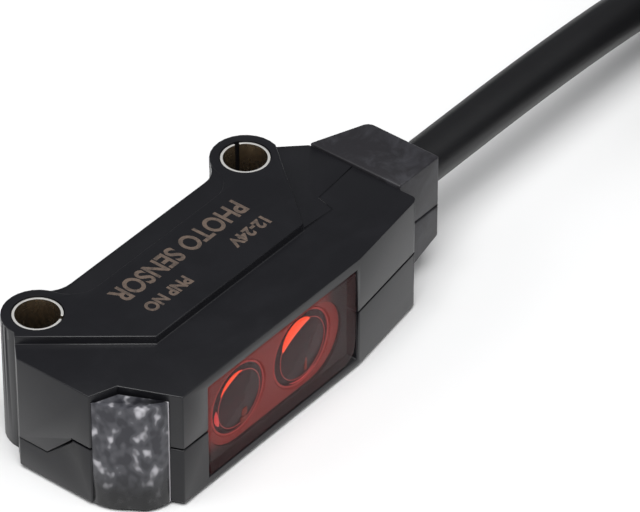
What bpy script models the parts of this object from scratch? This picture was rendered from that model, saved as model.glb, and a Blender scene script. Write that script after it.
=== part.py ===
"""Ultra-compact photoelectric sensor: two-part case, lens optics, circuit board, two sleeved M2 holes
and a three-core cable, as separate pieces.

Lengths are written in millimetres from three faces of the case: x from the left end, y from the front
and z from the underside. DATUM is the part's own origin in those lengths, and every mesh is in metres.
"""

import math

import bmesh
import bpy
from mathutils import Matrix, Vector

MM = 0.001
DATUM = Vector((12.3, 5.4, -0.2))  # middle of the sensor, on the surface it stands on

# Case
CASE_TOP = 6.55
SIDE_STEP_TOP = 6.58  # slightly raised area beside the label
BLOCK_TOP = 6.7
WEB_TOP = 6.9
LABEL_TOP = 7.0
PAD_LOW = -0.2
PARTING = 3.3
LEFT_PARTING = 1.7  # the parting line drops to this height behind the left end face
END_X = 21.44
WEB_Y = 9.32
LABEL_FRONT_Y = 3.49
LABEL_BACK_Y = 8.14
CAVITY_Z = (0.6, 5.85)
FIT = 0.1  # clearance between fitted pieces
PRESS_GAP = 0.04  # hairline round the sleeves, at the cable block and at the left end's joint

# Mounting holes, for M2 screws
EARS = ((2.79, 9.02), (18.31, 9.02))
EAR_RADIUS = 1.78
EAR_COLUMN_RADIUS = 1.83
SLEEVE_RADIUS = 1.25
SLEEVE_WALL = 0.15
SLIT_ANGLES = (-64, 60)
SLIT_WIDTH = 0.22

# Optics
WINDOW_X = (4.65, 15.7)
WINDOW_Z = (0.5, 5.85)
WINDOW_THICKNESS = 0.3
HOLDER_FRONT = WINDOW_THICKNESS + FIT
RECESS_DEPTH = 0.2
LENS_Z = 3.05
LENS_EDGE = 0.5
LENS_BULGE = 0.3
EMITTER_X = 7.5
RECEIVER_X = 12.3
EMITTER_RADIUS = 1.95
RECEIVER_RADIUS = 2.1
BOARD_Y = (6.2, 6.8)

# Cable
BLOCK_X = (END_X + PRESS_GAP, 24.6)
CABLE_RADIUS = 1.25
CORE_RADIUS = 0.45
TIP_RADIUS = 0.3
TIP_LENGTH = 5.0
CORD_GAP = 0.3
COIL_CENTRE = (58.0, -17.0)
COIL_OUTER = 20.0  # to the middle of the outermost turn
COIL_INNER = 10.0
COIL_LAYERS = 5

CABLE_ROUTE = (
    (24.9, 4.1, 4.3),
    (29, 4.1, 4.3),
    (33, 4.1, 4.28),
    (37, 4.1, 4.18),
    (41, 4.12, 3.95),
    (45, 4.2, 3.5),
    (49.8, 4.38, 2.55),
)
COLOURS = {
    "brown": (0.13, 0.045, 0.02),
    "blue": (0.01, 0.06, 0.3),
    "black": (0.012, 0.012, 0.013),
}


# Collections, materials and small tools
def clear_scene():
    for item in list(bpy.data.objects):
        bpy.data.objects.remove(item, do_unlink=True)


def new_collection(name):
    collection = bpy.data.collections.new(name)
    bpy.context.scene.collection.children.link(collection)
    return collection


def new_material(name, colour, roughness, metallic=0.0, transmission=0.0):
    material = bpy.data.materials.new(name)
    material.use_nodes = True
    shader = material.node_tree.nodes["Principled BSDF"]
    shader.inputs["Base Color"].default_value = (*colour, 1.0)
    shader.inputs["Roughness"].default_value = roughness
    shader.inputs["Metallic"].default_value = metallic
    shader.inputs["Transmission Weight"].default_value = transmission
    return material


def spot(x, y, z):
    """A place given from the case's faces in millimetres, in the part's own frame in metres."""
    return (Vector((x, y, z)) - DATUM) * MM


def add_object(name, mesh, colour=None, roughness=0.5, metallic=0.0, transmission=0.0):
    """A finished piece with its own material, or a cutter where no colour is given."""
    item = bpy.data.objects.new(name, mesh)
    if colour is None:
        CUTTERS.objects.link(item)
        item.hide_render = True
        item.display_type = "WIRE"
        return item
    PARTS.objects.link(item)
    mesh.materials.clear()
    mesh.materials.append(new_material(name, colour, roughness, metallic, transmission))
    return item


def soften(mesh):
    """Smooth shading that keeps the true corners sharp."""
    mesh.shade_smooth()
    mesh.set_sharp_from_angle(angle=math.radians(35))


def mesh_of_curve(curve, matrix):
    """The curve as one welded closed mesh, with its place in the mesh."""
    guide = bpy.data.objects.new(curve.name + "_guide", curve)
    bpy.context.scene.collection.objects.link(guide)
    guide.matrix_world = matrix
    bpy.context.view_layer.update()
    evaluated = guide.evaluated_get(bpy.context.evaluated_depsgraph_get())
    mesh = bpy.data.meshes.new_from_object(evaluated)
    mesh.name = curve.name
    mesh.transform(matrix)
    bpy.data.objects.remove(guide, do_unlink=True)
    weld = bmesh.new()
    weld.from_mesh(mesh)
    bmesh.ops.remove_doubles(weld, verts=weld.verts, dist=1e-7)
    bmesh.ops.dissolve_limit(weld, angle_limit=math.radians(0.5), verts=weld.verts, edges=weld.edges)
    bmesh.ops.recalc_face_normals(weld, faces=weld.faces)
    weld.to_mesh(mesh)
    weld.free()
    return mesh


def outline_mesh(name, points, low, high, facing="up"):
    """A flat outline with thickness. It faces up (x, y), to the front (x, z) or to the side (y, z)."""
    curve = bpy.data.curves.new(name, "CURVE")
    curve.dimensions = "2D"
    curve.fill_mode = "BOTH"
    curve.extrude = (high - low) * MM / 2
    spline = curve.splines.new("POLY")
    spline.points.add(len(points) - 1)
    for point, place in zip(spline.points, points):
        point.co = (place[0] * MM, place[1] * MM, 0, 1)
    spline.use_cyclic_u = True
    middle = (low + high) / 2
    matrix = Matrix.Translation(spot(0, 0, middle))
    if facing == "front":
        matrix = Matrix.Translation(spot(0, middle, 0)) @ Matrix.Rotation(math.pi / 2, 4, "X")
    if facing == "side":
        turn = Matrix.Rotation(math.pi / 2, 4, "Z") @ Matrix.Rotation(math.pi / 2, 4, "X")
        matrix = Matrix.Translation(spot(middle, 0, 0)) @ turn
    return mesh_of_curve(curve, matrix)


def box_mesh(name, low, high):
    box = bmesh.new()
    size = [(b - a) * MM for a, b in zip(low, high)]
    middle = spot(*[(a + b) / 2 for a, b in zip(low, high)])
    bmesh.ops.create_cube(box, size=1.0, matrix=Matrix.Translation(middle) @ Matrix.Diagonal((*size, 1)))
    mesh = bpy.data.meshes.new(name)
    box.to_mesh(mesh)
    box.free()
    return mesh


def cylinder_mesh(name, radius, centre, depth, upright=True, sides=32):
    """A cylinder about a centre: upright along z, or lying along y."""
    turn = Matrix.Identity(4) if upright else Matrix.Rotation(math.pi / 2, 4, "X")
    cylinder = bmesh.new()
    bmesh.ops.create_cone(
        cylinder,
        cap_ends=True,
        segments=sides,
        radius1=radius * MM,
        radius2=radius * MM,
        depth=depth * MM,
        matrix=Matrix.Translation(spot(*centre)) @ turn,
    )
    mesh = bpy.data.meshes.new(name)
    cylinder.to_mesh(mesh)
    cylinder.free()
    return mesh


def turned_piece(name, profile, centre, to_front, steps, **finish):
    """A profile of (radius, height) points, top to bottom, turned about z or, to_front, about y."""
    mesh = bpy.data.meshes.new(name)
    places = [(radius * MM, 0, height * MM) for radius, height in profile]
    edges = [(n, n + 1) for n in range(len(places) - 1)]
    mesh.from_pydata(places, edges, [])
    item = add_object(name, mesh, **finish)
    item.location = spot(*centre)
    if to_front:
        item.rotation_euler = (math.pi / 2, 0, 0)
    screw = item.modifiers.new("turn", "SCREW")
    screw.steps = steps
    screw.render_steps = steps
    screw.use_merge_vertices = True
    screw.merge_threshold = 1e-7
    screw.use_smooth_shade = True
    return item


def combine(item, mesh, operation):
    """Cut a mesh from the piece, or join it to the piece."""
    other = add_object(item.name + "_" + mesh.name, mesh)
    modifier = item.modifiers.new(mesh.name, "BOOLEAN")
    modifier.operation = operation
    modifier.solver = "EXACT"
    modifier.object = other
    return other


# Outlines
def arc(centre, radius, start, end, steps):
    """Points on an arc, from a start angle to an end angle in degrees."""
    angles = [math.radians(start + (end - start) * n / steps) for n in range(steps + 1)]
    return [(centre[0] + radius * math.cos(a), centre[1] + radius * math.sin(a)) for a in angles]


def ear_with_fillets(ear, edge_y, fillet, side, outer_angle, steps=14):
    """An ear's round end and the hollow curve that leads from it to the straight back edge at edge_y.

    side is +1 where the straight edge lies on the ear's right. The points run from the outer angle
    round the ear, and then along the hollow curve to the straight edge.
    """
    rise = edge_y + fillet - ear[1]
    run = math.sqrt((EAR_RADIUS + fillet) ** 2 - rise**2)
    hollow = (ear[0] + side * run, edge_y + fillet)
    meeting = math.degrees(math.atan2(rise, side * run))
    back = math.degrees(math.atan2(-rise, -side * run))
    return arc(ear, EAR_RADIUS, outer_angle, meeting, steps) + arc(hollow, fillet, back, -90, 6)


def chamfer_angle(ear, corner, slope):
    """The angle at which a 45-degree line from a corner of the case meets the ear's round end."""
    along = 0.0
    while math.hypot(corner[0] + slope * along - ear[0], corner[1] + along - ear[1]) > EAR_RADIUS:
        along += 0.001
    return math.degrees(math.atan2(corner[1] + along - ear[1], corner[0] + slope * along - ear[0]))


LEFT_CORNER = (0.0, 7.95)
RIGHT_CORNER = (END_X, 7.52)
NOTCH = ((0.0, 3.47), (1.44, 2.94), (2.72, 0.0))


def case_outline(edge_y=WEB_Y, fillet=1.5):
    """The case from above, anticlockwise from its front left corner."""
    left, right = EARS
    right_round = ear_with_fillets(right, edge_y, fillet, -1, chamfer_angle(right, RIGHT_CORNER, -1))
    left_angle = chamfer_angle(left, LEFT_CORNER, 1)
    if left_angle < 0:
        left_angle += 360
    left_round = ear_with_fillets(left, edge_y, fillet, 1, left_angle)
    left_round.reverse()
    front_corner = arc((END_X - 0.4, 1.09), 0.4, -82, 0, 4)
    return [
        NOTCH[2],
        (16.04, 0.0),
        *front_corner,
        RIGHT_CORNER,
        *right_round,
        *left_round,
        LEFT_CORNER,
        NOTCH[0],
        NOTCH[1],
    ]


def label_outline(edge_y=LABEL_BACK_Y, fillet=1.6):
    """The raised label area and the two ear pads, anticlockwise from the front left corner."""
    left, right = EARS
    right_round = ear_with_fillets(right, edge_y, fillet, -1, -18)
    left_angle = chamfer_angle(left, LEFT_CORNER, 1) % 360
    left_round = ear_with_fillets(left, edge_y, fillet, 1, left_angle)
    left_round.reverse()
    return [
        (4.97, LABEL_FRONT_Y),
        (15.99, LABEL_FRONT_Y),
        *right_round,
        *left_round,
        (0.75, 8.7),
    ]


def side_step_outline():
    """The slightly raised area between the label and the cable end."""
    angle = chamfer_angle(EARS[1], RIGHT_CORNER, -1)
    return [
        (15.3, 3.6),
        (18.16, 3.42),
        (18.46, 4.53),
        (END_X, 4.8),
        RIGHT_CORNER,
        *arc(EARS[1], EAR_RADIUS, angle, 60, 5),
        (17.0, 7.0),
    ]


CAVITY = ((3.6, 1.1), (16.3, 1.1), (20.6, 1.7), (20.6, 6.9), (0.9, 6.9), (0.9, 4.3), (2.4, 3.7))
BLACK = {"colour": (0.022, 0.022, 0.025), "roughness": 0.42}


# Case
def hollow_out(case):
    """Cuts what both halves share: the cavity, the openings to the front and the end, and the holes."""
    combine(case, outline_mesh("cavity", CAVITY, *CAVITY_Z), "DIFFERENCE")
    opening = ((WINDOW_X[0] - FIT, -1, WINDOW_Z[0] - FIT), (WINDOW_X[1] + FIT, 1.3, WINDOW_Z[1] + FIT))
    combine(case, box_mesh("window_opening", *opening), "DIFFERENCE")
    combine(case, box_mesh("light_passage", (1.5, 2.7, 1.2), (3.2, 4.4, 5.2)), "DIFFERENCE")
    combine(case, box_mesh("cable_opening", (20.3, 2.5, 1.2), (22, 6.5, 5.7)), "DIFFERENCE")
    for number, ear in enumerate(EARS, 1):
        hole = cylinder_mesh(f"hole_{number}", SLEEVE_RADIUS + PRESS_GAP, (*ear, 3), 20)
        combine(case, hole, "DIFFERENCE")


def left_tab(name, gap):
    """The stretch behind the left end face where the upper half reaches lower."""
    low = LEFT_PARTING - gap
    high = PARTING + FIT
    slope_end = 4.65 - gap
    outline = [(9.6, low), (6.2, low), (slope_end, PARTING - FIT / 2 - gap), (slope_end, high), (9.6, high)]
    return outline_mesh(name, outline, -1, 0.86 + gap, "side")


def make_case_lower():
    """The lower half, cut away round the ears and behind the left end face."""
    mesh = outline_mesh("case_lower", case_outline(), 0.0, PARTING - FIT / 2)
    case = add_object("case_lower", mesh, **BLACK)
    combine(case, outline_mesh("base_pad", label_outline(), PAD_LOW, 0.4), "UNION")
    hollow_out(case)
    for number, ear in enumerate(EARS, 1):
        column = cylinder_mesh(f"column_{number}", EAR_COLUMN_RADIUS + FIT, (*ear, 3), 20)
        combine(case, column, "DIFFERENCE")
    combine(case, left_tab("left_tab", PRESS_GAP), "DIFFERENCE")


def make_case_upper():
    """The upper half, with the label area, and with the whole height of both ears."""
    low = PARTING + FIT / 2
    case = add_object("case_upper", outline_mesh("case_upper", case_outline(), low, CASE_TOP), **BLACK)
    combine(case, outline_mesh("side_step", side_step_outline(), 6.2, SIDE_STEP_TOP), "UNION")
    combine(case, outline_mesh("web", label_outline(WEB_Y, 1.5), 6.2, WEB_TOP), "UNION")
    combine(case, outline_mesh("label_pad", label_outline(), 6.3, LABEL_TOP), "UNION")
    for number, ear in enumerate(EARS, 1):
        column = combine(case, outline_mesh(f"column_{number}", case_outline(), PAD_LOW, low + 0.2), "UNION")
        combine(column, cylinder_mesh("trim", EAR_COLUMN_RADIUS, (*ear, 3), 20), "INTERSECT")
    tab = combine(case, outline_mesh("tab", case_outline(), 0.5, low + 0.2), "UNION")
    combine(tab, left_tab("tab_limits", 0.0), "INTERSECT")
    hollow_out(case)


def make_sleeve(number, ear, slit_angle):
    """A rolled metal sleeve with a slit along its length, which keeps the screw off the plastic."""
    half_slit = math.degrees(SLIT_WIDTH / 2 / SLEEVE_RADIUS)
    start = slit_angle + half_slit
    end = slit_angle + 360 - half_slit
    outline = arc(ear, SLEEVE_RADIUS, start, end, 36)
    outline += arc(ear, SLEEVE_RADIUS - SLEEVE_WALL, end, start, 36)
    name = f"mounting_sleeve_{number}"
    mesh = outline_mesh(name, outline, PAD_LOW + 0.05, LABEL_TOP - 0.05)
    soften(mesh)
    return add_object(name, mesh, (0.62, 0.6, 0.56), 0.25, 1.0)


# Windows and optics
def make_front_window():
    """A flat dark red window, with its lower right corner rounded."""
    (left, right), (low, high) = WINDOW_X, WINDOW_Z
    corner = arc((right - 1.0, low + 1.0), 1.0, -90, 0, 6)
    outline = [(left, high), (left, low), *corner, (right, high)]
    mesh = outline_mesh("front_window", outline, 0, WINDOW_THICKNESS, "front")
    return add_object("front_window", mesh, (0.2, 0.01, 0.008), 0.08, transmission=0.8)


def make_indicator_window():
    """The clear corner block that carries the light of the two indicator lamps outside."""
    outer = arc((2.35, 3.45), 2.28, 180, 221, 5) + arc((2.65, 2.85), 2.28, 229, 263, 5)
    inner = [(2.42, 0.62), (1.36, 2.82), (0.2, 3.28)]
    mesh = outline_mesh("indicator_window", outer + inner, 0.0, 6.2)
    return add_object("indicator_window", mesh, (0.75, 0.75, 0.78), 0.12, transmission=0.8)


def make_lens_holder():
    """The dark holder behind the window: a shallow recess, a barrel for each lens and the wall between."""
    mesh = box_mesh("lens_holder", (4.8, HOLDER_FRONT, 0.7), (15.5, 5.0, 5.75))
    holder = add_object("lens_holder", mesh, (0.03, 0.028, 0.028), 0.6)
    half_height = 2.25
    recess = [
        *arc((7.2, LENS_Z), half_height, 90, 270, 12),
        *arc((12.8, LENS_Z), half_height, -90, 90, 12),
    ]
    recess_floor = HOLDER_FRONT + RECESS_DEPTH
    combine(holder, outline_mesh("recess", recess, 0, recess_floor, "front"), "DIFFERENCE")
    for label, x, radius in (
        ("emitter_barrel", EMITTER_X, EMITTER_RADIUS),
        ("receiver_barrel", RECEIVER_X, RECEIVER_RADIUS),
    ):
        barrel = cylinder_mesh(label, radius + FIT, (x, 3, LENS_Z), 8, upright=False)
        combine(holder, barrel, "DIFFERENCE")
    return holder


def make_lens(name, x, radius):
    """A plano-convex lens with a straight rim, its round side to the front."""
    steps = 6
    sphere = (radius**2 + LENS_BULGE**2) / (2 * LENS_BULGE)
    dome = []
    for n in range(steps + 1):
        across = radius * n / steps
        dome.append((across, LENS_EDGE + math.sqrt(sphere**2 - across**2) - (sphere - LENS_BULGE)))
    profile = [*dome, (radius, 0.0), (0.0, 0.0)]
    finish = {"colour": (0.5, 0.08, 0.06), "roughness": 0.05, "transmission": 0.9}
    back = HOLDER_FRONT + LENS_BULGE + LENS_EDGE
    return turned_piece(name, profile, (x, back, LENS_Z), True, 32, **finish)


def make_emitter():
    """The light source: a small round-topped package on the board."""
    dome = arc((0, 0.45), 0.55, 90, 0, 5)
    profile = [*dome, (0.75, 0.45), (0.75, 0.0), (0.0, 0.0)]
    place = (EMITTER_X, BOARD_Y[0] - FIT, LENS_Z)
    return turned_piece("emitter_led", profile, place, True, 20, colour=(0.6, 0.25, 0.2), roughness=0.2)


def make_receiver():
    """The light receiver chip and the metal can that shields it, open towards its lens."""
    back = BOARD_Y[0] - FIT
    x = RECEIVER_X
    chip = box_mesh("receiver_chip", (x - 0.7, back - 0.5, LENS_Z - 0.7), (x + 0.7, back, LENS_Z + 0.7))
    add_object("receiver_chip", chip, (0.05, 0.05, 0.09), 0.15)
    outside = ((x - 1.2, back - 0.9, LENS_Z - 1.2), (x + 1.2, back, LENS_Z + 1.2))
    inside = ((x - 1.0, back - 0.7, LENS_Z - 1.0), (x + 1.0, back + 1, LENS_Z + 1.0))
    can = add_object("receiver_shield", box_mesh("receiver_shield", *outside), (0.6, 0.6, 0.6), 0.3, 1.0)
    combine(can, box_mesh("inside", *inside), "DIFFERENCE")
    aperture = cylinder_mesh("aperture", 0.6, (x, back, LENS_Z), 4, upright=False, sides=20)
    combine(can, aperture, "DIFFERENCE")


# Circuit board
BOARD_PIECES = (
    ("operation_led", 4.28, 4.4, 0.7, 0.8, 0.6, (0.8, 0.35, 0.05), 0.25, 0.0),
    ("stability_led", 4.28, 2.3, 0.7, 0.8, 0.6, (0.1, 0.6, 0.15), 0.25, 0.0),
    ("control_chip", 17.2, 3.3, 2.2, 2.6, 0.9, (0.02, 0.02, 0.02), 0.5, 0.0),
    ("output_transistor", 19.2, 4.6, 1.2, 1.4, 1.0, (0.02, 0.02, 0.02), 0.45, 0.0),
    ("protection_diode", 19.2, 3.0, 1.2, 0.8, 0.8, (0.02, 0.02, 0.02), 0.45, 0.0),
    ("capacitor_1", 17.2, 5.1, 1.0, 0.5, 0.5, (0.35, 0.22, 0.12), 0.5, 0.0),
    ("capacitor_2", 9.3, 4.9, 1.0, 0.5, 0.5, (0.35, 0.22, 0.12), 0.5, 0.0),
    ("resistor_1", 17.2, 1.5, 1.0, 0.5, 0.35, (0.02, 0.02, 0.02), 0.4, 0.0),
    ("resistor_2", 9.3, 1.8, 1.0, 0.5, 0.35, (0.02, 0.02, 0.02), 0.4, 0.0),
)


def make_board():
    """The upright board behind the optics, and what is soldered to its front."""
    mesh = box_mesh("circuit_board", (3.9, BOARD_Y[0], 0.95), (20.3, BOARD_Y[1], 5.6))
    add_object("circuit_board", mesh, (0.01, 0.12, 0.04), 0.5)
    back = BOARD_Y[0] - FIT
    for name, x, z, width, height, depth, colour, roughness, metallic in BOARD_PIECES:
        low = (x - width / 2, back - depth, z - height / 2)
        high = (x + width / 2, back, z + height / 2)
        add_object(name, box_mesh(name, low, high), colour, roughness, metallic)


# Cable
def smooth_route(points, step):
    """Evenly placed points, about a step apart, on a smooth curve through the given points."""
    points = [Vector(p) for p in points]
    padded = [2 * points[0] - points[1], *points, 2 * points[-1] - points[-2]]
    fine = []
    for a, b, c, d in zip(padded, padded[1:], padded[2:], padded[3:]):
        for n in range(20):
            t = n / 20
            straight = 2 * b + (c - a) * t
            bend = (2 * a - 5 * b + 4 * c - d) * t**2 + (3 * b - 3 * c + d - a) * t**3
            fine.append(0.5 * (straight + bend))
    fine.append(points[-1])
    total = sum((b - a).length for a, b in zip(fine, fine[1:]))
    count = max(2, round(total / step))
    route = [fine[0]]
    walked = 0.0
    for a, b in zip(fine, fine[1:]):
        walked += (b - a).length
        if walked >= total * len(route) / count - 1e-9:
            route.append(b)
    return route


def make_tube(name, points, radius, step, colour, roughness=0.45, metallic=0.0):
    curve = bpy.data.curves.new(name, "CURVE")
    curve.dimensions = "3D"
    curve.bevel_depth = radius * MM
    curve.bevel_resolution = 2
    curve.use_fill_caps = True
    spline = curve.splines.new("POLY")
    route = smooth_route(points, step)
    spline.points.add(len(route) - 1)
    for point, place in zip(spline.points, route):
        point.co = (*spot(*place), 1)
    mesh = mesh_of_curve(curve, Matrix.Identity(4))
    soften(mesh)
    return add_object(name, mesh, colour, roughness, metallic)


def make_cable_block():
    """The moulded block that grips the cable, with a neck that reaches into the case."""
    front, back = 1.87, 7.5
    corner = arc((BLOCK_X[1] - 0.5, 5.92), 0.5, 0, 70, 4)
    outline = [(BLOCK_X[0], front), (BLOCK_X[1], front), *corner, (BLOCK_X[0], back)]
    mesh = outline_mesh("cable_block", outline, 0.0, BLOCK_TOP)
    trimmed = bmesh.new()
    trimmed.from_mesh(mesh)
    low = spot(BLOCK_X[0], 0, 0.6)
    slope = spot(BLOCK_X[1], 0, 1.75) - low
    everything = [*trimmed.verts, *trimmed.edges, *trimmed.faces]
    normal = Vector((slope.z, 0, -slope.x)).normalized()
    cut = bmesh.ops.bisect_plane(trimmed, geom=everything, plane_co=low, plane_no=normal, clear_outer=True)
    edges = [e for e in cut["geom_cut"] if isinstance(e, bmesh.types.BMEdge)]
    bmesh.ops.edgenet_fill(trimmed, edges=edges)
    bmesh.ops.recalc_face_normals(trimmed, faces=trimmed.faces)
    trimmed.to_mesh(mesh)
    trimmed.free()
    block = add_object("cable_block", mesh, (0.035, 0.033, 0.035), 0.5)
    combine(block, box_mesh("neck", (20.8, 2.6, 1.4), (22, 6.4, 5.6)), "UNION")
    return block


def make_inner_cores():
    """The three cores, from the block's neck to their pads on the board."""
    for name, height in (("brown", 4.75), ("blue", 3.4), ("black", 2.05)):
        low = height - 0.1
        points = [(20.5, 4.2, height), (20.1, 4.35, height), (19.0, 4.6, low), (18.6, 4.75, low)]
        make_tube(name + "_core", points, CORE_RADIUS, 0.5, COLOURS[name])


def coil_place(angle, radius, z):
    """A place over the coil, by its angle in degrees and its distance from the coil's centre."""
    turn = math.radians(angle)
    return (COIL_CENTRE[0] + radius * math.cos(turn), COIL_CENTRE[1] + radius * math.sin(turn), z)


def make_coil():
    """The outer shape of the coiled part of the cable: a ring with rounded corners."""
    height = 2 * CABLE_RADIUS * COIL_LAYERS
    outer = COIL_OUTER + CABLE_RADIUS
    inner = COIL_INNER - CABLE_RADIUS
    r = CABLE_RADIUS * 0.8
    profile = [
        *arc((outer - r, height - r), r, 90, 0, 3),
        *arc((outer - r, r), r, 0, -90, 3),
        *arc((inner + r, r), r, 270, 180, 3),
        *arc((inner + r, height - r), r, 180, 90, 3),
    ]
    profile.append(profile[0])
    finish = {"colour": (0.02, 0.02, 0.021), "roughness": 0.5}
    centre = (*COIL_CENTRE, PAD_LOW)
    return turned_piece("cable_coil", profile, centre, False, 40, **finish)


def make_far_end():
    """The end of the jacket on top of the coil, and the three stripped cores that come out of it."""
    top = PAD_LOW + 2 * CABLE_RADIUS * COIL_LAYERS + CORD_GAP
    jacket = [coil_place(40 - 12 * n, 12 + 0.35 * n, top + CABLE_RADIUS) for n in range(10)]
    make_tube("cable_tail", jacket, CABLE_RADIUS, 5, (0.02, 0.02, 0.021))
    end_angle = 40 - 12 * 9
    for number, name in enumerate(("brown", "blue", "black")):
        spread = number - 1
        start = end_angle - math.degrees(CORD_GAP / 15.15)
        angles = [start, start - 8, start - 30, start - 60, start - 95]
        far = 15 + 2.2 * spread
        radii = [15.15 + spread, 15.2 + 1.1 * spread, 15.2 + 1.8 * spread, far, far]
        rest = top + CORE_RADIUS
        heights = [top + 1.05, top + 0.8, rest, rest, rest]
        lead = [coil_place(a, r, h) for a, r, h in zip(angles, radii, heights)]
        make_tube(name + "_lead", lead, CORE_RADIUS, 2.2, COLOURS[name])
        gap = math.degrees(CORD_GAP / far)
        length = math.degrees(TIP_LENGTH / far)
        tip_angles = [angles[-1] - gap - length * n / 3 for n in range(4)]
        tip = [coil_place(a, far, rest) for a in tip_angles]
        make_tube(name + "_tip", tip, TIP_RADIUS, 1.6, (0.55, 0.55, 0.56), 0.3, 1.0)


clear_scene()
PARTS = new_collection("photoelectric_sensor")
CUTTERS = new_collection("cutters")

make_case_lower()
make_case_upper()
for sleeve_number, (sleeve_ear, sleeve_slit) in enumerate(zip(EARS, SLIT_ANGLES), 1):
    make_sleeve(sleeve_number, sleeve_ear, sleeve_slit)
make_front_window()
make_indicator_window()
make_lens_holder()
make_lens("emitter_lens", EMITTER_X, EMITTER_RADIUS)
make_lens("receiver_lens", RECEIVER_X, RECEIVER_RADIUS)
make_emitter()
make_receiver()
make_board()
make_cable_block()
make_inner_cores()
make_tube("cable", CABLE_ROUTE, CABLE_RADIUS, 4, (0.02, 0.02, 0.021))
make_coil()
make_far_end()
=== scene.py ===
# %% [markdown]
# # A fingertip-sized photoelectric sensor
# The sensor is only 24.6 mm long, so every length below is written in millimetres and turned into
# metres by one factor. The solid model is loaded first. It is a fixed frame: it says where each piece
# is, and the fine pieces made here take their places from it.

import math

import bmesh
import bpy
from mathutils import Matrix, Vector


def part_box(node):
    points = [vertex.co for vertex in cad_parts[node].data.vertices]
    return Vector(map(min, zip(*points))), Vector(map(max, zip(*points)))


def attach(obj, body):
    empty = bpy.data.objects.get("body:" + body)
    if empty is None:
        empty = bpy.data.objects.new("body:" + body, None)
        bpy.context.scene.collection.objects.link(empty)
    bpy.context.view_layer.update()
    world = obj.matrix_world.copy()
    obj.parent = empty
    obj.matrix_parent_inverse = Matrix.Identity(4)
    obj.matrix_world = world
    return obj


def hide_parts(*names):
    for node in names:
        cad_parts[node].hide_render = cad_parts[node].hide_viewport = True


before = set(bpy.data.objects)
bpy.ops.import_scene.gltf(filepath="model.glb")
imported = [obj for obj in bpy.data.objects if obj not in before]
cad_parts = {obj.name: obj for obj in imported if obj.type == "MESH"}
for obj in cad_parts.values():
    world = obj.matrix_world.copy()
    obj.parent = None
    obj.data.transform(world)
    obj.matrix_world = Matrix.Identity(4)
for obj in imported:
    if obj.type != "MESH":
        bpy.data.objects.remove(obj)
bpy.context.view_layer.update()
MM = 0.001

# %% [markdown]
# ## Camera
# A long lens far away flattens the perspective, as product pictures do. The camera is placed on a
# sphere around an aim point by an azimuth and an elevation, which is easier to think about than x, y, z.

# %% Camera
AIM = Vector((3.43, -3.15, 5.96)) * MM
AZIMUTH = math.radians(-51.24)
ELEVATION = math.radians(38.69)
DISTANCE = 277.7 * MM


def direction(azimuth, elevation):
    """From the aim point towards a place at this azimuth and elevation; azimuth 0 is in front."""
    flat = math.cos(elevation)
    return Vector((math.sin(azimuth) * flat, -math.cos(azimuth) * flat, math.sin(elevation)))


bpy.ops.object.select_all(action="DESELECT")
bpy.ops.object.camera_add(location=AIM + direction(AZIMUTH, ELEVATION) * DISTANCE)
camera = bpy.context.object
camera.rotation_euler = direction(AZIMUTH, ELEVATION).to_track_quat("Z", "Y").to_euler()
camera.data.lens = 323.5
camera.data.sensor_width = 36
camera.data.clip_start = 0.01
bpy.context.scene.camera = camera
print("camera at", [round(c / MM, 1) for c in camera.location], "mm")

# %% [markdown]
# ## Cable route
# The cable is one curve: straight out of the block, down to the floor, and then into a neat coil.
# The coil is wound as on a drum: four turns inwards, one layer up, four turns outwards, and so on.
# A loop works out each turn, because nobody places hundreds of points by hand. The end of the jacket
# climbs out of the top layer's inner side and comes to rest on the coil.

# %% Cable route
UNDERSIDE = -0.2
DATUM = Vector((12.3, 5.4, UNDERSIDE))
CABLE_RADIUS = 1.25
CORD_GAP = 0.3
COIL_CENTRE = (58.0, -17.0)
COIL_OUTER = 20.0
COIL_INNER = 10.0
COIL_LAYERS = 5
TURNS_A_LAYER = 4
POINTS_A_TURN = 16
CLIMB_TURNS = 0.3  # how much of a turn the step up to the next layer takes
LAYER_HEIGHT = 2 * CABLE_RADIUS
FLOOR_CENTRE = CABLE_RADIUS + UNDERSIDE
COIL_TOP = UNDERSIDE + COIL_LAYERS * LAYER_HEIGHT + CORD_GAP
TAIL_ANGLE = 40
TAIL_STEP = 12
TAIL_POINTS = 10
TAIL_RADIUS = 12
TAIL_DRIFT = 0.35  # how far each point of the tail lies further out than the one before
CABLE_ROUTE = (
    (24.9, 4.1, 4.3),
    (29, 4.1, 4.3),
    (33, 4.1, 4.28),
    (37, 4.1, 4.18),
    (41, 4.12, 3.95),
    (45, 4.2, 3.5),
    (49.8, 4.38, 2.55),
    (52.5, 4.3, 1.85),
    (55.3, 3.8, 1.25),
)


def spot(x, y, z):
    """A place given in millimetres from the case's left end, front and underside."""
    return (Vector((x, y, z)) - DATUM) * MM


def coil_place(angle, radius, z):
    """A place over the coil, by its angle in degrees and its distance from the coil's centre."""
    turn = math.radians(angle)
    return (COIL_CENTRE[0] + radius * math.cos(turn), COIL_CENTRE[1] + radius * math.sin(turn), z)


def ease(t):
    """0 to 1 with soft ends."""
    t = min(1.0, max(0.0, t))
    return t * t * (3 - 2 * t)


def coil_turns():
    """The wound part, clockwise from the top of the circle, layer by layer."""
    turns = COIL_LAYERS * TURNS_A_LAYER
    width = COIL_OUTER - COIL_INNER
    places = []
    for n in range(turns * POINTS_A_TURN + 1):
        turn = n / POINTS_A_TURN
        phase = turn / TURNS_A_LAYER % 2
        inward = phase if phase <= 1 else 2 - phase
        late = [turn - layer * TURNS_A_LAYER for layer in range(1, COIL_LAYERS)]
        climb = sum(ease(t / CLIMB_TURNS + 0.5) for t in late)
        height = FLOOR_CENTRE + LAYER_HEIGHT * climb
        places.append(coil_place(90 - 360 * turn, COIL_OUTER - width * inward, height))
    return places


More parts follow.
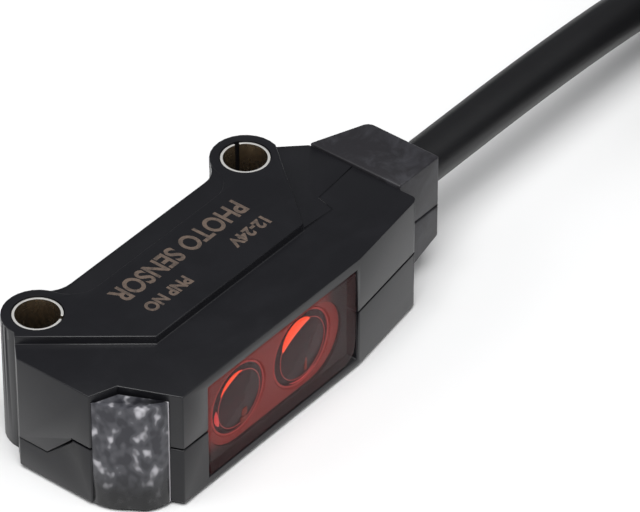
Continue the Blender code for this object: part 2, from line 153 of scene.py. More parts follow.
def tail_places():
    """From the top layer's inner end up onto the coil, where the jacket ends."""
    top = COIL_TOP + CABLE_RADIUS
    last_layer = FLOOR_CENTRE + LAYER_HEIGHT * (COIL_LAYERS - 1)
    places = []
    for n in range(1, 4):
        part = ease(n / 4)
        radius = COIL_INNER + (TAIL_RADIUS - COIL_INNER) * part
        places.append(coil_place(90 - 12.5 * n, radius, last_layer + (top - last_layer) * part))
    for n in range(TAIL_POINTS):
        places.append(coil_place(TAIL_ANGLE - TAIL_STEP * n, TAIL_RADIUS + TAIL_DRIFT * n, top))
    return places


places = [*CABLE_ROUTE, *coil_turns(), *tail_places()]
line = [spot(*p) for p in places]

# %% [markdown]
# ## Material tools
# Moulded plastic, metal and insulation share one effect: a fine grain, a few soft smudges and a colour
# that isn't quite even. It is made once as a node group with named inputs, and every material sets its
# own values. The pattern reads Object coordinates, in metres, so its scales are large numbers.


# %% Shared surface group
def add_node(tree, kind, **values):
    """A node, with any of its inputs set by name (underscores stand for spaces)."""
    node = tree.nodes.new(kind)
    for key, value in values.items():
        node.inputs[key.replace("_", " ")].default_value = value
    return node


def make_surface_group():
    group = bpy.data.node_groups.new("moulded_surface", "ShaderNodeTree")
    sockets = (
        ("Colour", "NodeSocketColor", (0.5, 0.5, 0.5, 1)),
        ("Smudge Colour", "NodeSocketColor", (0.6, 0.6, 0.6, 1)),
        ("Smudges", "NodeSocketFloat", 0.2),
        ("Roughness", "NodeSocketFloat", 0.4),
        ("Roughness Change", "NodeSocketFloat", 0.1),
        ("Grain Scale", "NodeSocketFloat", 9000.0),
        ("Smudge Scale", "NodeSocketFloat", 320.0),
    )
    for name, kind, value in sockets:
        socket = group.interface.new_socket(name, in_out="INPUT", socket_type=kind)
        socket.default_value = value
    number = "NodeSocketFloat"
    for name, kind in (("Colour", "NodeSocketColor"), ("Roughness", number), ("Height", number)):
        group.interface.new_socket(name, in_out="OUTPUT", socket_type=kind)
    start = group.nodes.new("NodeGroupInput")
    end = group.nodes.new("NodeGroupOutput")
    place = group.nodes.new("ShaderNodeTexCoord")
    grain = add_node(group, "ShaderNodeTexNoise", Detail=3.0, Roughness=0.6)
    cloud = add_node(group, "ShaderNodeTexNoise", Detail=5.0, Roughness=0.65, Distortion=0.6)
    spread = add_node(group, "ShaderNodeMapRange", From_Min=0.45, From_Max=0.75)
    amount = group.nodes.new("ShaderNodeMath")
    amount.operation = "MULTIPLY"
    colour = group.nodes.new("ShaderNodeMix")
    colour.data_type = "RGBA"
    centred = group.nodes.new("ShaderNodeMath")
    centred.operation = "SUBTRACT"
    centred.inputs[1].default_value = 0.5
    rough = group.nodes.new("ShaderNodeMath")
    rough.operation = "MULTIPLY_ADD"
    link = group.links.new
    link(place.outputs["Object"], grain.inputs["Vector"])
    link(place.outputs["Object"], cloud.inputs["Vector"])
    link(start.outputs["Grain Scale"], grain.inputs["Scale"])
    link(start.outputs["Smudge Scale"], cloud.inputs["Scale"])
    link(cloud.outputs["Fac"], spread.inputs["Value"])
    link(spread.outputs["Result"], amount.inputs[0])
    link(start.outputs["Smudges"], amount.inputs[1])
    link(amount.outputs["Value"], colour.inputs["Factor"])
    link(start.outputs["Colour"], colour.inputs["A"])
    link(start.outputs["Smudge Colour"], colour.inputs["B"])
    link(cloud.outputs["Fac"], centred.inputs[0])
    link(centred.outputs["Value"], rough.inputs[0])
    link(start.outputs["Roughness Change"], rough.inputs[1])
    link(start.outputs["Roughness"], rough.inputs[2])
    link(colour.outputs["Result"], end.inputs["Colour"])
    link(rough.outputs["Value"], end.inputs["Roughness"])
    link(grain.outputs["Fac"], end.inputs["Height"])
    return group


SURFACE = make_surface_group()


def surface_material(
    name,
    colour,
    smudge,
    roughness,
    bump=0.1,
    metallic=0.0,
    alpha=1.0,
    specular=0.5,
    glow=None,
    **group_values,
):
    """A Principled material fed by the shared surface group.

    glow is an emission colour and its strength, and group_values are inputs of the group by name."""
    material = bpy.data.materials.new(name)
    material.use_nodes = True
    tree = material.node_tree
    shader = tree.nodes["Principled BSDF"]
    shader.inputs["Metallic"].default_value = metallic
    shader.inputs["Alpha"].default_value = alpha
    shader.inputs["Specular IOR Level"].default_value = specular
    if glow:
        shader.inputs["Emission Color"].default_value = (*glow[0], 1)
        shader.inputs["Emission Strength"].default_value = glow[1]
    surface = tree.nodes.new("ShaderNodeGroup")
    surface.node_tree = SURFACE
    surface.inputs["Colour"].default_value = (*colour, 1)
    surface.inputs["Smudge Colour"].default_value = (*smudge, 1)
    surface.inputs["Roughness"].default_value = roughness
    for key, value in group_values.items():
        surface.inputs[key.replace("_", " ")].default_value = value
    height = add_node(tree, "ShaderNodeBump", Strength=bump, Distance=0.00002)
    tree.links.new(surface.outputs["Colour"], shader.inputs["Base Color"])
    tree.links.new(surface.outputs["Roughness"], shader.inputs["Roughness"])
    tree.links.new(surface.outputs["Height"], height.inputs["Height"])
    tree.links.new(height.outputs["Normal"], shader.inputs["Normal"])
    return material


case_plastic = surface_material(
    "case_plastic", (0.0085, 0.0085, 0.0105), (0.014, 0.014, 0.017), 0.32, 0.12, specular=0.36, Smudges=0.5
)
block_plastic = surface_material(
    "block_plastic",
    (0.019, 0.018, 0.021),
    (0.05, 0.05, 0.058),
    0.45,
    0.2,
    specular=0.4,
    Smudges=0.9,
    Smudge_Scale=700.0,
)
jacket_plastic = surface_material(
    "jacket_plastic", (0.0075, 0.0075, 0.0085), (0.012, 0.012, 0.013), 0.42, 0.15, specular=0.4
)
sleeve_metal = surface_material(
    "sleeve_metal",
    (0.5, 0.44, 0.36),
    (0.24, 0.19, 0.13),
    0.26,
    0.05,
    1.0,
    Roughness_Change=0.2,
    Smudge_Scale=1100.0,
)
print("materials:", len(bpy.data.materials))

# %% [markdown]
# ## Refining a solid
# The solid model's faces are loose triangles. A copy is merged into a clean mesh, its flat areas are
# made whole, and a narrow Bevel rounds the edges. Real mouldings have no perfectly sharp edge, and the
# thin highlights along the edges are what makes black plastic readable.


# %% Refining tools
def only(piece):
    """Selects one piece and makes it the active one."""
    bpy.ops.object.select_all(action="DESELECT")
    piece.select_set(True)
    bpy.context.view_layer.objects.active = piece


def finish_piece(piece, material, nodes=()):
    """Gives the piece its finish, hangs it on what it moves with, and hides the solids it replaces."""
    piece.data.materials.clear()
    piece.data.materials.append(material)
    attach(piece, "root")
    if nodes:
        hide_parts(*nodes)
    return piece


def apply_modifiers(piece):
    only(piece)
    for modifier in list(piece.modifiers):
        bpy.ops.object.modifier_apply(modifier=modifier.name)


def copy_of(node, name):
    """A merged copy of a solid, with flat areas made whole."""
    piece = bpy.data.objects.new(name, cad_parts[node].data.copy())
    bpy.context.scene.collection.objects.link(piece)
    only(piece)
    bpy.ops.object.mode_set(mode="EDIT")
    bpy.ops.mesh.select_all(action="SELECT")
    bpy.ops.mesh.remove_doubles(threshold=2e-7)
    bpy.ops.mesh.dissolve_limited(angle_limit=math.radians(0.6))
    bpy.ops.object.mode_set(mode="OBJECT")
    return piece


def cut(piece, cutter):
    """Cuts one piece with another and removes the cutter."""
    modifier = piece.modifiers.new("cut", "BOOLEAN")
    modifier.operation = "DIFFERENCE"
    modifier.object = cutter
    apply_modifiers(piece)
    bpy.data.objects.remove(cutter, do_unlink=True)


def mark_edges(piece, angle, shortest):
    """Marks the sharp edges that are long enough to be rounded."""
    mesh = bmesh.new()
    mesh.from_mesh(piece.data)
    marks = mesh.edges.layers.float.new("bevel_weight_edge")
    for edge in mesh.edges:
        sharp = edge.is_manifold and edge.calc_face_angle(0) > math.radians(angle)
        edge[marks] = float(sharp and edge.calc_length() >= shortest * MM)
    mesh.to_mesh(piece.data)
    mesh.free()


def round_edges(piece, width, segments=2, angle=28, shortest=0.0):
    """Rounds the edges that turn by more than the angle, and smooths the shading.

    Edges under the shortest length stay sharp, because a wide rounding of a tiny edge throws out spikes."""
    mark_edges(piece, angle, shortest)
    bevel = piece.modifiers.new("edges", "BEVEL")
    bevel.width = width * MM
    bevel.segments = segments
    bevel.limit_method = "WEIGHT"
    bevel.use_clamp_overlap = False
    apply_modifiers(piece)
    only(piece)
    bpy.ops.object.shade_smooth_by_angle(angle=math.radians(32))


def add_box(name, low, high):
    """A cube primitive between two corners, in millimetres from the case's faces."""
    bpy.ops.object.select_all(action="DESELECT")
    middle = spot(*[(a + b) / 2 for a, b in zip(low, high)])
    bpy.ops.mesh.primitive_cube_add(size=1, location=middle)
    box = bpy.context.object
    box.name = name
    box.scale = [(b - a) * MM for a, b in zip(low, high)]
    bpy.ops.object.transform_apply(location=True, rotation=True, scale=True)
    return box


# %% [markdown]
# ## Case
# Two mouldings meet at a parting line halfway up. The upper one also holds both ears over their whole
# height, and reaches lower at the left end. Both are refined copies of their solids, so the holes, the
# window opening and the label area stay exactly where they are.

# %% Case halves
for node in ("case_upper", "case_lower"):
    half = copy_of(node, node + "_moulding")
    round_edges(half, 0.05, shortest=0.3)
    finish_piece(half, case_plastic, [node])
    print(half.name, "faces:", len(half.data.polygons))

# %% [markdown]
# ## Cable block
# The block is moulded round the cable in a two-part mould, which leaves a fine line on its sides. The
# line is a real groove: a thin plate with its middle taken out is cut from the block.

# %% Cable block
block = copy_of("cable_block", "cable_block_moulding")
groove = add_box("groove", (21.0, 1.0, 3.62), (25.5, 8.5, 3.7))
cut(groove, add_box("groove_core", (20.5, 1.97, 3.0), (24.5, 6.3, 4.0)))
cut(block, groove)
round_edges(block, 0.09)
finish_piece(block, block_plastic, ["cable_block"])
print(block.name, "faces:", len(block.data.polygons))

# %% [markdown]
# ## Mounting sleeves
# Each screw hole is lined with a rolled strip of plated steel. The slit where its ends meet stays open.
# The faces that point up, the upper rim, get a paler and less metallic finish than the rest.

# %% Mounting sleeves
rim_metal = surface_material("rim_metal", (0.6, 0.59, 0.57), (0.4, 0.39, 0.36), 0.35, 0.1, 0.25)
for node in ("mounting_sleeve_1", "mounting_sleeve_2"):
    sleeve = copy_of(node, node + "_rolled")
    round_edges(sleeve, 0.04, 2, 40)
    finish_piece(sleeve, sleeve_metal, [node])
    sleeve.data.materials.append(rim_metal)
    for face in sleeve.data.polygons:
        if face.normal.z > 0.9:
            face.material_index = 1
    print(sleeve.name, "rim faces:", sum(face.material_index for face in sleeve.data.polygons))

# %% [markdown]
# ## Cable and cores
# The cable is a curve with a round bevel, so it stays one clean tube however it bends. The cores at its
# end are three thinner curves, and each ends in a short tinned tip.


# %% Cable
def add_cord(name, points, radius, material, slot, nodes):
    """A round cord on one smooth curve that starts and ends at its first and last point."""
    curve = bpy.data.curves.new(name, "CURVE")
    curve.dimensions = "3D"
    curve.bevel_depth = radius * MM
    curve.bevel_resolution = 5
    curve.use_fill_caps = True
    spline = curve.splines.new("NURBS")
    spline.points.add(len(points) - 1)
    for point, place in zip(spline.points, points):
        point.co = (*place, 1)
    spline.order_u = 3
    spline.resolution_u = 2
    spline.use_endpoint_u = True
    cord = bpy.data.objects.new(name, curve)
    bpy.context.scene.collection.objects.link(cord)
    return finish_piece(cord, material, nodes)


cable = add_cord(
    "cable_jacket", line, CABLE_RADIUS, jacket_plastic, "cable_jacket", ["cable", "cable_coil", "cable_tail"]
)
print(cable.name, "points:", len(line))

# %% [markdown]
# The jacket's end shows three cores. They lie side by side on the coil, spread a little, and end in bare
# tinned strands.

# %% Cores and tips
CORE_RADIUS = 0.45
TIP_RADIUS = 0.3
TIP_LENGTH = 5.0
JACKET_END = TAIL_ANGLE - TAIL_STEP * (TAIL_POINTS - 1)
JACKET_END_RADIUS = TAIL_RADIUS + TAIL_DRIFT * (TAIL_POINTS - 1)
core_colours = {
    "brown": surface_material("brown_insulation", (0.13, 0.045, 0.02), (0.16, 0.06, 0.03), 0.4),
    "blue": surface_material("blue_insulation", (0.01, 0.06, 0.3), (0.02, 0.09, 0.36), 0.4),
    "black": surface_material("black_insulation", (0.012, 0.012, 0.013), (0.02, 0.02, 0.02), 0.4),
}
tinned_metal = surface_material("tinned_metal", (0.58, 0.58, 0.6), (0.45, 0.45, 0.47), 0.3, 0.4, 1.0)
on_cable = []
for spread, name in zip((-1, 0, 1), ("brown", "blue", "black")):
    start = JACKET_END - math.degrees(CORD_GAP / JACKET_END_RADIUS)
    far = 15 + 2.2 * spread
    rest = COIL_TOP + CORE_RADIUS
    angles = [start, start - 8, start - 30, start - 60, start - 95]
    radii = [JACKET_END_RADIUS + spread, 15.2 + 1.1 * spread, 15.2 + 1.8 * spread, far, far]
    heights = [COIL_TOP + 1.05, COIL_TOP + 0.8, rest, rest, rest]
    lead = [spot(*coil_place(a, r, h)) for a, r, h in zip(angles, radii, heights)]
    first = angles[-1] - math.degrees(CORD_GAP / far)
    step = math.degrees(TIP_LENGTH / far) / 3
    tip = [spot(*coil_place(first - step * n, far, rest)) for n in range(4)]
    core = (name + "_core_end", lead, CORE_RADIUS, core_colours[name], "core_" + name, [name + "_lead"])
    strands = (name + "_tinned_tip", tip, TIP_RADIUS, tinned_metal, "tinned_metal", [name + "_tip"])
    on_cable += [add_cord(*core), add_cord(*strands)]
print("pieces on the cable:", [piece.name for piece in on_cable])

# %% [markdown]

# %% [markdown]
# ## Windows and optics
# The front window is dark red and clear. Seen through it are the lens holder, the two round lenses and
# the wall between their barrels. The floor of the holder's recess is red and has a weak painted glow, and
# the step round it gets painted shade, a black finish, so it reads as a gap. Light that falls in through
# the window, dyed red, is painted as bright glowing crescents along the upper left rim of each lens. The
# window itself is a thin half see-through sheet, so its surface can gloss while the red pieces behind it
# stay visible.

# %% Optics materials
window_red = surface_material(
    "window_red",
    (0.05, 0.014, 0.015),
    (0.06, 0.016, 0.016),
    0.12,
    0.0,
    alpha=0.26,
    specular=0.22,
    Roughness_Change=0.03,
)
# Red recess floor, with a weak painted glow on top of its own red.
recess_red_painted_glow = surface_material(
    "recess_red_painted_glow",
    (0.26, 0.02, 0.016),
    (0.4, 0.035, 0.025),
    0.45,
    0.05,
    glow=((1.0, 0.09, 0.06), 0.13),
    Smudges=0.9,
)
# Painted shade: near black for the step round the recess, so it reads as a gap.
step_painted_shade = surface_material(
    "step_painted_shade", (0.004, 0.003, 0.003), (0.006, 0.004, 0.004), 0.7, 0.0, specular=0.1
)
lens_dark = surface_material(
    "lens_dark",
    (0.035, 0.016, 0.019),
    (0.09, 0.016, 0.018),
    0.16,
    0.0,
    specular=0.3,
    Smudges=0.9,
    Smudge_Scale=500.0,
)
print("optics: window, recess, gap and lens")

# %% [markdown]
# The rings, crescents and glints on and round the lenses are painted highlights: they glow weakly,
# each in its own shade of red.

# %% Glowing materials for painted highlights and painted images
rim_painted_highlight = surface_material(
    "rim_painted_highlight", (0.4, 0.05, 0.05), (0.6, 0.1, 0.08), 0.3, glow=((1.0, 0.1, 0.08), 0.28)
)
painted_highlight_orange = surface_material(
    "painted_highlight_orange", (0.9, 0.12, 0.05), (1.0, 0.2, 0.08), 0.3, glow=((1.0, 0.07, 0.02), 1.45)
)
painted_highlight_pink = surface_material(
    "painted_highlight_pink", (0.7, 0.1, 0.09), (0.8, 0.16, 0.14), 0.3, glow=((1.0, 0.07, 0.07), 0.7)
)
painted_glint_pale = surface_material(
    "painted_glint_pale", (0.6, 0.4, 0.38), (0.3, 0.1, 0.1), 0.3, glow=((1.0, 0.5, 0.45), 0.3)
)
# Painted images in the lenses, with a weak glow.
painted_image_orange = surface_material(
    "painted_image_orange", (0.32, 0.05, 0.03), (0.4, 0.07, 0.04), 0.4, specular=0.2, glow=((1.0, 0.12, 0.06), 0.05)
)
print("materials:", len(bpy.data.materials))

# %% [markdown]
# The holder's front isn't one colour. Red light is painted on it: its upper left is red with a weak glow,
# which fades to dark towards the cable end and the foot. Both fades are measured along the piece's own
# axes, so they stay with it.


# %% Holder front
def add_ramp(tree, socket, start, end, low, high):
    """A smooth change from low to high between two places on an axis, in millimetres."""
    ramp = add_node(tree, "ShaderNodeMapRange", From_Min=start * MM, From_Max=end * MM)
    ramp.inputs["To Min"].default_value = low
    ramp.inputs["To Max"].default_value = high
    ramp.interpolation_type = "SMOOTHSTEP"
    tree.links.new(socket, ramp.inputs["Value"])
    return ramp.outputs["Result"]


def painted_glow_holder_material():
    """Dark plastic with a painted red glow at its upper left."""
    material = bpy.data.materials.new("holder_front")
    material.use_nodes = True
    tree = material.node_tree
    link = tree.links.new
    shader = tree.nodes["Principled BSDF"]
    shader.inputs["Roughness"].default_value = 0.5
    shader.inputs["Emission Strength"].default_value = 0.1
    place = tree.nodes.new("ShaderNodeTexCoord")
    axes = tree.nodes.new("ShaderNodeSeparateXYZ")
    painted_glow_mask = tree.nodes.new("ShaderNodeMath")
    painted_glow_mask.operation = "MULTIPLY"
    glow = tree.nodes.new("ShaderNodeMix")
    glow.data_type = "RGBA"
    glow.inputs["A"].default_value = (0, 0, 0, 1)
    glow.inputs["B"].default_value = (1.0, 0.09, 0.06, 1)
    colour = tree.nodes.new("ShaderNodeMix")
    colour.data_type = "RGBA"
    colour.inputs["A"].default_value = (0.022, 0.013, 0.014, 1)
    colour.inputs["B"].default_value = (0.22, 0.02, 0.016, 1)
    right = spot(14.6, 0, 0).x / MM
    low = spot(0, 0, 1.0).z / MM
    link(place.outputs["Object"], axes.inputs["Vector"])
    link(add_ramp(tree, axes.outputs["X"], right - 1.2, right, 1, 0), painted_glow_mask.inputs[0])
    link(add_ramp(tree, axes.outputs["Z"], low, low + 1.3, 0, 1), painted_glow_mask.inputs[1])
    link(painted_glow_mask.outputs["Value"], colour.inputs["Factor"])
    link(painted_glow_mask.outputs["Value"], glow.inputs["Factor"])
    link(colour.outputs["Result"], shader.inputs["Base Color"])
    link(glow.outputs["Result"], shader.inputs["Emission Color"])
    return material


# %% [markdown]
# The window and the holder are refined copies. On the holder, the floor of the recess and the barrels
# inside are found by their depth behind the front, and the step by its depth and by facing sideways.

# %% Front window and lens holder
FLOOR_DEPTH = 0.17  # in mm: faces deeper than this are the recess's floor or the barrels
STEP_DEPTH = 0.02  # and faces less deep than this are still the front
window = copy_of("front_window", "front_window_clear")
round_edges(window, 0.05)
finish_piece(window, window_red, ["front_window"])
holder = copy_of("lens_holder", "lens_holder_moulding")
round_edges(holder, 0.04)
finish_piece(holder, painted_glow_holder_material(), ["lens_holder"])
holder.data.materials.append(recess_red_painted_glow)
holder.data.materials.append(step_painted_shade)
holder_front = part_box("lens_holder")[0].y
holder_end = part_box("lens_holder")[1].x - 0.3 * MM
for face in holder.data.polygons:
    depth = (face.center.y - holder_front) / MM
    if depth > FLOOR_DEPTH:
        face.material_index = 1
    # The step's faces get the painted shade, so the step reads as a dark gap.
    elif depth > STEP_DEPTH and abs(face.normal.y) < 0.5 and face.center.x < holder_end:
        face.material_index = 2
print("floor faces:", sum(face.material_index == 1 for face in holder.data.polygons))
print("step faces:", sum(face.material_index == 2 for face in holder.data.polygons))

# %% [markdown]
# Each lens gets two fine rings, made from torus primitives, and its crescents as thin tapered tubes on
# arcs along the rim, pressed flat. Rings and crescents are glowing painted highlights. All of them sit
# half sunk in the dome, so their depth is worked out from the dome's own curve.


# %% Lens tools
LENS_BULGE = 0.3


def lens_face(node):
    """Centre of a lens's front, and its radius."""
    low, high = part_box(node)
    return Vector(((low.x + high.x) / 2, low.y, (low.z + high.z) / 2)), (high.x - low.x) / 2


def dome_depth(radius, across):
    """How far the dome has fallen back from its top at a distance from its axis."""
    bulge = LENS_BULGE * MM
    sphere = (radius**2 + bulge**2) / (2 * bulge)
    return sphere - math.sqrt(sphere**2 - across**2)


def add_ring(name, centre, radius, thickness):
    """A thin ring that faces the front, a glowing painted highlight."""
    bpy.ops.object.select_all(action="DESELECT")
    bpy.ops.mesh.primitive_torus_add(
        location=centre,
        rotation=(math.pi / 2, 0, 0),
        major_radius=radius,
        minor_radius=thickness,
        major_segments=64,
        minor_segments=8,
    )
    ring = bpy.context.object
    ring.name = name
    bpy.ops.object.transform_apply(location=True, rotation=True, scale=True)
    bpy.ops.object.shade_smooth()
    return finish_piece(ring, rim_painted_highlight)


def add_crescent(name, node, share, angles, thickness, material):
    """A tapered tube along the rim, a glowing painted highlight: share is its place between the axis and the
    rim.
    """
    centre, radius = lens_face(node)
    across = radius * share
    depth = dome_depth(radius, across)
    steps = 14
    curve = bpy.data.curves.new(name, "CURVE")
    curve.dimensions = "3D"
    curve.bevel_depth = thickness * MM
    curve.bevel_resolution = 3
    curve.use_fill_caps = True
    spline = curve.splines.new("POLY")
    spline.points.add(steps)
    for n, point in enumerate(spline.points):
        turn = math.radians(angles[0] + (angles[1] - angles[0]) * n / steps)
        place = centre + Vector((across * math.cos(turn), depth, across * math.sin(turn)))
        point.co = (*place, 1)
        point.radius = 0.12 + 0.88 * math.sin(math.pi * n / steps) ** 0.8
    crescent = bpy.data.objects.new(name, curve)
    bpy.context.scene.collection.objects.link(crescent)
    only(crescent)
    bpy.ops.object.convert(target="MESH")
    crescent = bpy.context.object
    bpy.ops.object.mode_set(mode="EDIT")
    bpy.ops.mesh.select_all(action="SELECT")
    bpy.ops.mesh.remove_doubles(threshold=1e-7)
    bpy.ops.object.mode_set(mode="OBJECT")
    middle = centre.y + depth
    for vertex in crescent.data.vertices:
        vertex.co.y = middle + (vertex.co.y - middle) * 0.3
    return finish_piece(crescent, material)


# %% Lenses
INNER_SHARE = 0.8
for node in ("emitter_lens", "receiver_lens"):
    lens = copy_of(node, node + "_dome")
    round_edges(lens, 0.04, 2, 40)
    finish_piece(lens, lens_dark, [node])
    centre, radius = lens_face(node)
    rim = centre + Vector((0, LENS_BULGE * MM, 0))
    step = centre + Vector((0, dome_depth(radius, radius * INNER_SHARE), 0))
    add_ring(node + "_rim", rim, radius * 0.985, 0.05 * MM)
    add_ring(node + "_step", step, radius * INNER_SHARE, 0.022 * MM)
    print(node, "radius:", round(radius / MM, 2), "mm")
# Painted highlights: glowing crescents and a glint on each lens.
add_crescent("emitter_lens_crescent", "emitter_lens", 0.82, (146, 80), 0.14, painted_highlight_orange)
add_crescent("emitter_lens_side_crescent", "emitter_lens", 0.86, (208, 172), 0.16, painted_highlight_pink)
add_crescent("emitter_lens_rim_glint", "emitter_lens", 0.98, (260, 190), 0.04, painted_glint_pale)
add_crescent("receiver_lens_crescent", "receiver_lens", 0.78, (156, 70), 0.34, painted_highlight_orange)
add_crescent("receiver_lens_low_crescent", "receiver_lens", 0.9, (300, 240), 0.05, painted_highlight_pink)

# %% [markdown]
# Behind the emitter lens two small reddish squares show, and behind the receiver lens a narrow streak.
# They are images of the parts inside, painted: small flat cubes at the dome's surface, glowing weakly,
# stand in for them.

# %% Images in the lenses
IMAGES = (
    ("source_image_upper", (7.54, 0.4, 2.0), (7.9, 0.5, 2.42)),
    ("source_image_lower", (7.5, 0.44, 1.52), (7.92, 0.54, 1.86)),
    ("receiver_image", (12.3, 0.42, 1.75), (12.46, 0.53, 2.55)),
)
for name, low, high in IMAGES:
    patch = add_box(name, low, high)
    round_edges(patch, 0.04)
    finish_piece(patch, painted_image_orange)
print("images:", len(IMAGES))

# %% [markdown]
# ## Indicator window
# A clear block at the corner carries the light of two small lamps. Its inside is full of little facets,
# whose soft grey and white patches are painted reflections, with painted shade fading them to dark
# towards the foot. Its edge towards the front window gets a painted highlight, a narrow bright stretch.
# Both changes are measured along the block's own height and length.


# %% Indicator window
def indicator_material():
    """Clear plastic full of facets, with painted reflections, painted shade at its foot and a painted
    highlight along its edge by the front window.
    """
    material = bpy.data.materials.new("indicator_clear")
    material.use_nodes = True
    tree = material.node_tree
    link = tree.links.new
    shader = tree.nodes["Principled BSDF"]
    shader.inputs["Roughness"].default_value = 0.22
    shader.inputs["Specular IOR Level"].default_value = 0.3
    place = tree.nodes.new("ShaderNodeTexCoord")
    axes = tree.nodes.new("ShaderNodeSeparateXYZ")
    stretch = tree.nodes.new("ShaderNodeMapping")
    stretch.inputs["Scale"].default_value = (1.0, 1.0, 0.7)
    # Painted reflections of the facets: noise turned into dark, grey and white patches.
    painted_reflection_noise = add_node(tree, "ShaderNodeTexNoise", Scale=2100.0, Detail=1.0, Roughness=0.4)
    cells = add_node(tree, "ShaderNodeTexVoronoi", Scale=900.0)
    cells.feature = "SMOOTH_F1"
    reflection_colours = tree.nodes.new("ShaderNodeValToRGB")
    reflection_colours.color_ramp.interpolation = "EASE"
    reflection_colours.color_ramp.elements[0].position = 0.34
    reflection_colours.color_ramp.elements[0].color = (0.035, 0.035, 0.042, 1)
    reflection_colours.color_ramp.elements[1].position = 0.78
    reflection_colours.color_ramp.elements[1].color = (0.5, 0.49, 0.52, 1)
    middle = reflection_colours.color_ramp.elements.new(0.55)
    middle.color = (0.075, 0.075, 0.085, 1)
    shaded_reflections = tree.nodes.new("ShaderNodeVectorMath")
    shaded_reflections.operation = "SCALE"
    edge = tree.nodes.new("ShaderNodeMix")
    edge.data_type = "RGBA"
    edge.inputs["B"].default_value = (0.75, 0.73, 0.76, 1)
    bump = add_node(tree, "ShaderNodeBump", Strength=0.25, Distance=0.0001)
    foot = spot(0, 0, 0).z / MM
    front_edge = spot(2.42, 0, 0).x / MM
    link(place.outputs["Object"], axes.inputs["Vector"])
    link(place.outputs["Object"], stretch.inputs["Vector"])
    link(stretch.outputs["Vector"], painted_reflection_noise.inputs["Vector"])
    link(place.outputs["Object"], cells.inputs["Vector"])
    link(painted_reflection_noise.outputs["Fac"], reflection_colours.inputs["Fac"])
    link(reflection_colours.outputs["Color"], shaded_reflections.inputs[0])
    # Painted shade towards the foot, and a painted highlight along the edge by the front window.
    painted_foot_shade = add_ramp(tree, axes.outputs["Z"], foot + 0.5, foot + 2.7, 0.12, 1.0)
    painted_edge_highlight = add_ramp(tree, axes.outputs["X"], front_edge - 0.14, front_edge - 0.05, 0, 0.8)
    link(painted_foot_shade, shaded_reflections.inputs["Scale"])
    link(shaded_reflections.outputs["Vector"], edge.inputs["A"])
    link(painted_edge_highlight, edge.inputs["Factor"])
    link(edge.outputs["Result"], shader.inputs["Base Color"])
    link(cells.outputs["Distance"], bump.inputs["Height"])
    link(bump.outputs["Normal"], shader.inputs["Normal"])
    return material


indicator = copy_of("indicator_window", "indicator_light_pipe")
round_edges(indicator, 0.06, 2, 40)
finish_piece(indicator, indicator_material(), ["indicator_window"])
print(indicator.name, "faces:", len(indicator.data.polygons))

# %% [markdown]
# ## Marking
# The label is burnt into the plastic by a laser, which leaves dull brown letters. Plain generic words
# stand here. Each line is a text object, made a mesh, that lies a hair above the raised label area.

# %% Marking
marking_brown = surface_material(
    "marking_brown", (0.125, 0.09, 0.07), (0.03, 0.025, 0.023), 0.7, 0.3, Smudges=1.0, Smudge_Scale=2200.0
)
MARKS = (
    ("marking_type", "PHOTO SENSOR", (15.3, 7.35), 1.62, 0.78),
    ("marking_supply", "12-24V", (15.3, 5.45), 0.98, 0.95),
    ("marking_output", "PNP NO", (9.3, 5.45), 0.98, 0.85),
)
LABEL_TOP = 7.0
for name, words, (x, y), size, width in MARKS:
    bpy.ops.object.select_all(action="DESELECT")
    bpy.ops.object.text_add(location=spot(x, y, LABEL_TOP - 0.004), rotation=(0, 0, math.pi))
    text = bpy.context.object
    text.name = name
    text.data.body = words
    text.data.size = size * MM
    text.data.offset = 0.00004
    text.data.extrude = 0.000006
    text.scale = (width, 1, 1)
    bpy.ops.object.convert(target="MESH")
    bpy.ops.object.transform_apply(location=True, rotation=True, scale=True)
    finish_piece(bpy.context.object, marking_brown)
    print(name, "faces:", len(bpy.context.object.data.polygons))

# %% [markdown]
# ## Inner pieces
# The pieces that stay hidden keep their solids and get honest materials, so the part also looks right
# when someone takes the case off.

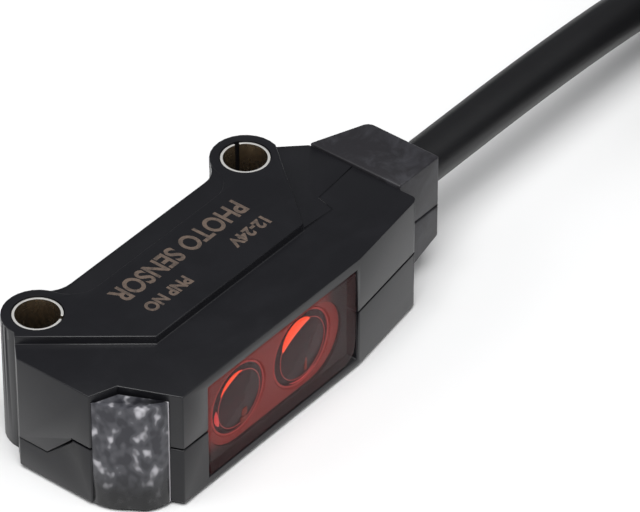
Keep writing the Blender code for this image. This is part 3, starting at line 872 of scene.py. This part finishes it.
# %% Inner materials
INNER = {
    "board_green": ((0.01, 0.12, 0.04), 0.4, 0.0, ("circuit_board",)),
    "package_black": (
        (0.02, 0.02, 0.021),
        0.5,
        0.0,
        (
            "control_chip",
            "output_transistor",
            "protection_diode",
            "resistor_1",
            "resistor_2",
            "receiver_chip",
        ),
    ),
    "ceramic_tan": ((0.35, 0.22, 0.12), 0.5, 0.0, ("capacitor_1", "capacitor_2")),
    "shield_metal": ((0.6, 0.6, 0.6), 0.3, 1.0, ("receiver_shield",)),
    "lamp_resin": ((0.7, 0.4, 0.2), 0.25, 0.0, ("emitter_led", "operation_led", "stability_led")),
}
for name, (colour, roughness, metallic, nodes) in INNER.items():
    inner = surface_material(name, colour, tuple(c * 1.4 for c in colour), roughness, 0.2, metallic)
    for node in nodes:
        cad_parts[node].data.materials.clear()
        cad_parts[node].data.materials.append(inner)
for name in ("brown", "blue", "black"):
    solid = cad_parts[name + "_core"]
    solid.data.materials.clear()
    solid.data.materials.append(core_colours[name])

# %% [markdown]
# ## Studio
# A pale floor and soft light. Satin black plastic shows mostly what it reflects: the upright faces
# mirror the bright floor, and the top mirrors the room behind, so the room is kept dim.


# %% Floor and light
def add_area_light(name, azimuth, elevation, distance, size, power):
    """A soft square lamp that looks at the aim point."""
    towards = direction(math.radians(azimuth), math.radians(elevation))
    bpy.ops.object.light_add(type="AREA", location=AIM + towards * distance)
    lamp = bpy.context.object
    lamp.name = name
    lamp.rotation_euler = towards.to_track_quat("Z", "Y").to_euler()
    lamp.data.size = size
    lamp.data.energy = power


bpy.ops.object.select_all(action="DESELECT")
bpy.ops.mesh.primitive_plane_add(size=6, location=(0, 0, 0))
floor = bpy.context.object
floor.name = "studio_floor"
floor_paint = bpy.data.materials.new("floor_paint")
floor_paint.use_nodes = True
floor_paint.node_tree.nodes["Principled BSDF"].inputs["Base Color"].default_value = (0.9, 0.9, 0.9, 1)
floor_paint.node_tree.nodes["Principled BSDF"].inputs["Roughness"].default_value = 0.9
floor.data.materials.append(floor_paint)

add_area_light("key_light", -60, 70, 0.7, 0.5, 5.0)
add_area_light("fill_light", 20, 55, 0.8, 0.6, 1.2)
add_area_light("left_light", -130, 38, 0.8, 0.4, 1.0)
world = bpy.context.scene.world or bpy.data.worlds.new("studio")
bpy.context.scene.world = world
world.use_nodes = True
world.node_tree.nodes["Background"].inputs["Color"].default_value = (0.95, 0.97, 1, 1)
world.node_tree.nodes["Background"].inputs["Strength"].default_value = 0.16
bpy.context.scene.view_settings.view_transform = "Standard"
